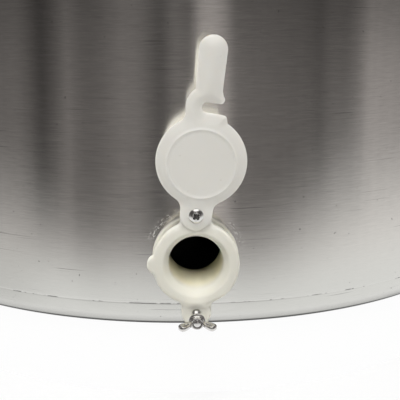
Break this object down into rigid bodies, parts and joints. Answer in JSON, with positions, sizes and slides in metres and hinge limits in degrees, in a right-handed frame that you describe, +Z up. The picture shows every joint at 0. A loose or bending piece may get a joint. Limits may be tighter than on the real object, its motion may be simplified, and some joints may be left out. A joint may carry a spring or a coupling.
{
  "type": "honey settling tank",
  "caption": "Tall stainless settling tank for honey, with a lift-off lid, hinged carrying handles and a swinging plastic honey gate with a wing-nut clamp near its base.",
  "frame": {"origin": "on the tank's axis, in the plane of the base ring it stands on", "axes": "+Z up, the honey gate faces -Y, the carrying handles are on +X and -X"},
  "size_m": [0.6342, 0.6672, 0.8593],
  "materials": {
    "tank_steel": "brushed round the tank",
    "lid_steel": "brushed",
    "bright_steel": "polished stainless bar",
    "fastener_steel": "bright stainless fasteners",
    "nylon": "moulded ivory nylon, satin",
    "seal_rubber": "pale food-grade rubber"
  },
  "bodies": {
    "tank": {"tank_shell": "tank_steel", "tank_floor": "tank_steel", "left_handle_bracket": "bright_steel", "right_handle_bracket": "bright_steel", "gate_body": "nylon", "gate_outer_gasket": "seal_rubber", "gate_inner_gasket": "seal_rubber", "gate_lock_nut": "nylon", "pivot_screw": "fastener_steel", "pivot_washer": "fastener_steel", "pivot_nut": "fastener_steel", "clamp_bolt": "fastener_steel"},
    "lid": {"lid": "lid_steel", "lid_handle": "bright_steel", "lid_handle_screws": "fastener_steel", "lid_handle_washers": "fastener_steel"},
    "left_bail": {"left_handle_bail": "bright_steel"},
    "right_bail": {"right_handle_bail": "bright_steel"},
    "gate_plate": {"gate_plate": "nylon"},
    "clamp_washer": {"clamp_washer": "fastener_steel"},
    "wing_nut": {"wing_nut": "fastener_steel"}
  },
  "joints": [
    {"name": "gate_swing", "type": "hinge", "parent": "tank", "child": "gate_plate", "pos_m": [0, -0.3266, 0.0927], "axis": [0, 1, 0], "range_deg": [-90, 174]},
    {"name": "wing_nut_travel", "type": "slide", "parent": "tank", "child": "clamp_washer", "axis": [0, -1, 0], "range_m": [-0.00621, 0.00151]},
    {"name": "wing_nut_turn", "type": "hinge", "parent": "clamp_washer", "child": "wing_nut", "pos_m": [0, -0.3392, 0.0167], "axis": [0, -1, 0], "range_deg": [-2232, 540]},
    {"name": "lid_lift", "type": "slide", "parent": "tank", "child": "lid", "axis": [0, 0, 1], "range_m": [0, 0.15]},
    {"name": "left_bail_swing", "type": "hinge", "parent": "tank", "child": "left_bail", "pos_m": [-0.3091, 0, 0.655], "axis": [0, 1, 0], "range_deg": [0, 100]},
    {"name": "right_bail_swing", "type": "hinge", "parent": "tank", "child": "right_bail", "pos_m": [0.3091, 0, 0.655], "axis": [0, -1, 0], "range_deg": [0, 100]}
  ],
  "couplings": [
    {"joint": "wing_nut_travel", "follows": "wing_nut_turn", "m_per_rad": 0.00015915}
  ]
}
